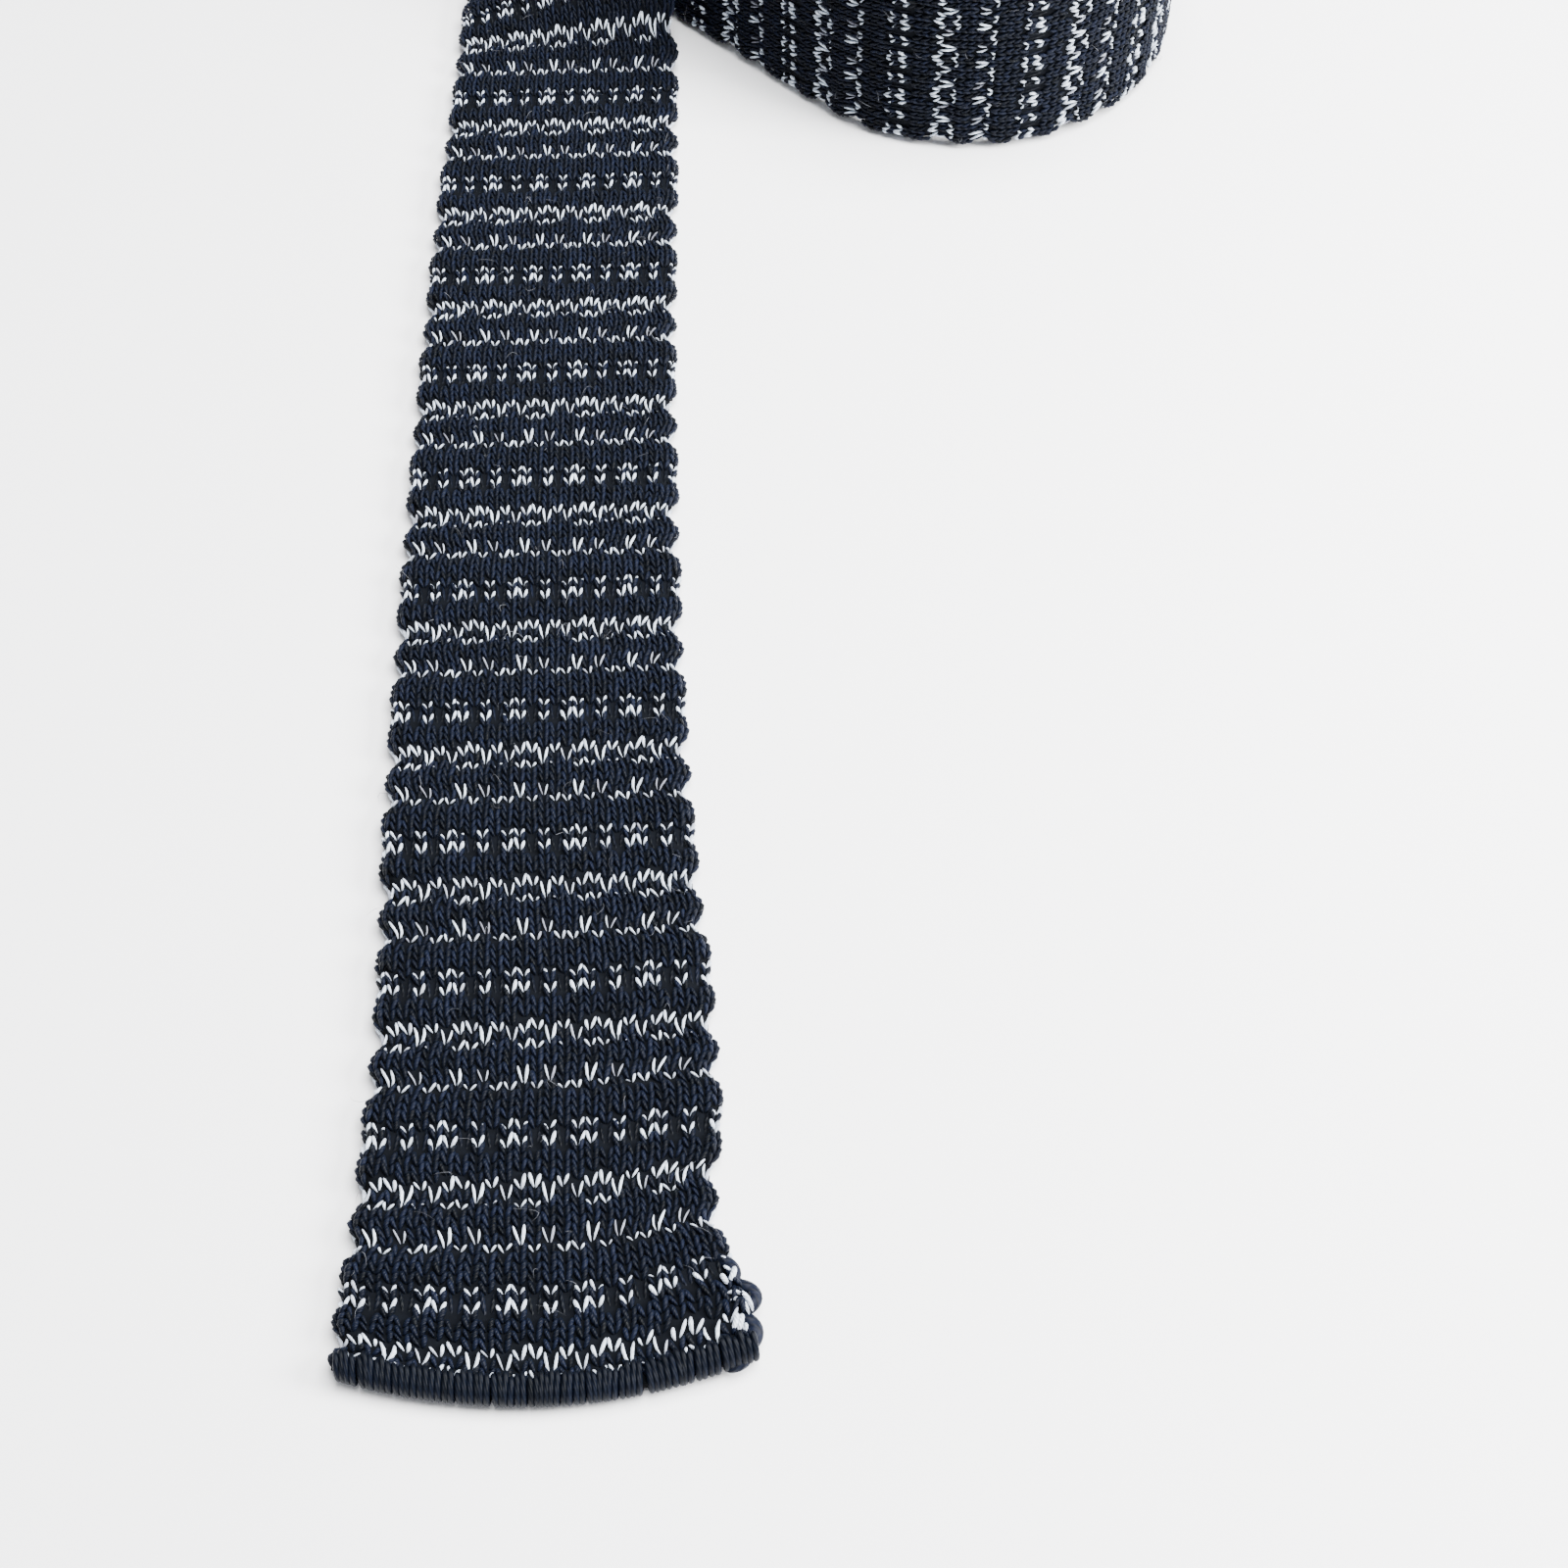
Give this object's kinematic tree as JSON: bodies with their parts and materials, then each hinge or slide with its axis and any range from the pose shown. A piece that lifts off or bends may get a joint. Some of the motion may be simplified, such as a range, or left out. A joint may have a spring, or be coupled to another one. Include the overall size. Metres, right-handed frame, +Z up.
{
  "type": "necktie",
  "caption": "Square-end knitted necktie lying with its front blade flat and the neck band and tail rolled up on edge in a loose coil.",
  "frame": {"origin": "middle of the front blade's overcast hem, on the surface the tie lies on", "axes": "+Y up the front blade towards the coil, +Z up, +X to the right edge of the blade"},
  "size_m": [0.1741, 0.4532, 0.0529],
  "materials": {
    "navy_knit": "thick knit of near-black navy wool yarn",
    "white_yarn": "off-white wool yarn of the pattern stitches",
    "navy_overcast": "overcast edge of doubled navy yarn",
    "woven_label": "plain woven satin label tape, blank",
    "tack_thread": "dark sewing thread, dense bar tack"
  },
  "bodies": {
    "coil": {"outer_wrap_back": "navy_knit", "outer_wrap_right": "navy_knit", "outer_wrap_front": "navy_knit", "middle_wrap_left": "navy_knit", "middle_wrap_back": "navy_knit", "middle_wrap_right": "navy_knit", "middle_wrap_front": "navy_knit", "inner_wrap_left": "navy_knit", "inner_wrap_back": "navy_knit", "inner_wrap_right": "navy_knit", "inner_wrap_front": "navy_knit"},
    "upper_blade": {"blade_upper": "navy_knit", "blade_turn": "navy_knit", "blade_stand": "navy_knit"},
    "middle_blade": {"blade_middle": "navy_knit", "keeper_tack_left": "tack_thread", "keeper_tack_right": "tack_thread"},
    "lower_blade": {"blade_lower": "navy_knit"},
    "tip": {"blade_tip": "navy_knit", "front_hem": "navy_overcast"},
    "keeper": {"keeper_label": "woven_label"},
    "tail": {"tail_end": "navy_knit", "tail_hem": "navy_overcast", "fibre_label_strip": "woven_label"},
    "fibre_label": {"fibre_label_flap": "woven_label"}
  },
  "joints": [
    {"name": "coil_unroll", "type": "hinge", "parent": "coil", "child": "upper_blade", "pos_m": [-0.01725, 0.382, 0], "axis": [0, 0, 1], "range_deg": [-40, 0]},
    {"name": "middle_lift", "type": "hinge", "parent": "upper_blade", "child": "middle_blade", "pos_m": [0, 0.255, 0.00225], "axis": [-1, 0, 0], "range_deg": [0, 60]},
    {"name": "lower_lift", "type": "hinge", "parent": "middle_blade", "child": "lower_blade", "pos_m": [0, 0.175, 0.00225], "axis": [-1, 0, 0], "range_deg": [0, 60]},
    {"name": "tip_lift", "type": "hinge", "parent": "lower_blade", "child": "tip", "pos_m": [0, 0.095, 0.00225], "axis": [-1, 0, 0], "range_deg": [0, 60]},
    {"name": "keeper_open", "type": "slide", "parent": "middle_blade", "child": "keeper", "axis": [0, 0, -1], "range_m": [0, 0.005]},
    {"name": "tail_swing", "type": "hinge", "parent": "coil", "child": "tail", "pos_m": [0.0729, 0.31865, 0], "axis": [0, 0, 1], "range_deg": [-30, 5]},
    {"name": "fibre_label_turn", "type": "hinge", "parent": "tail", "child": "fibre_label", "pos_m": [0.06828, 0.32781, 0], "axis": [0, 0, 1], "range_deg": [-80, 0]}
  ]
}
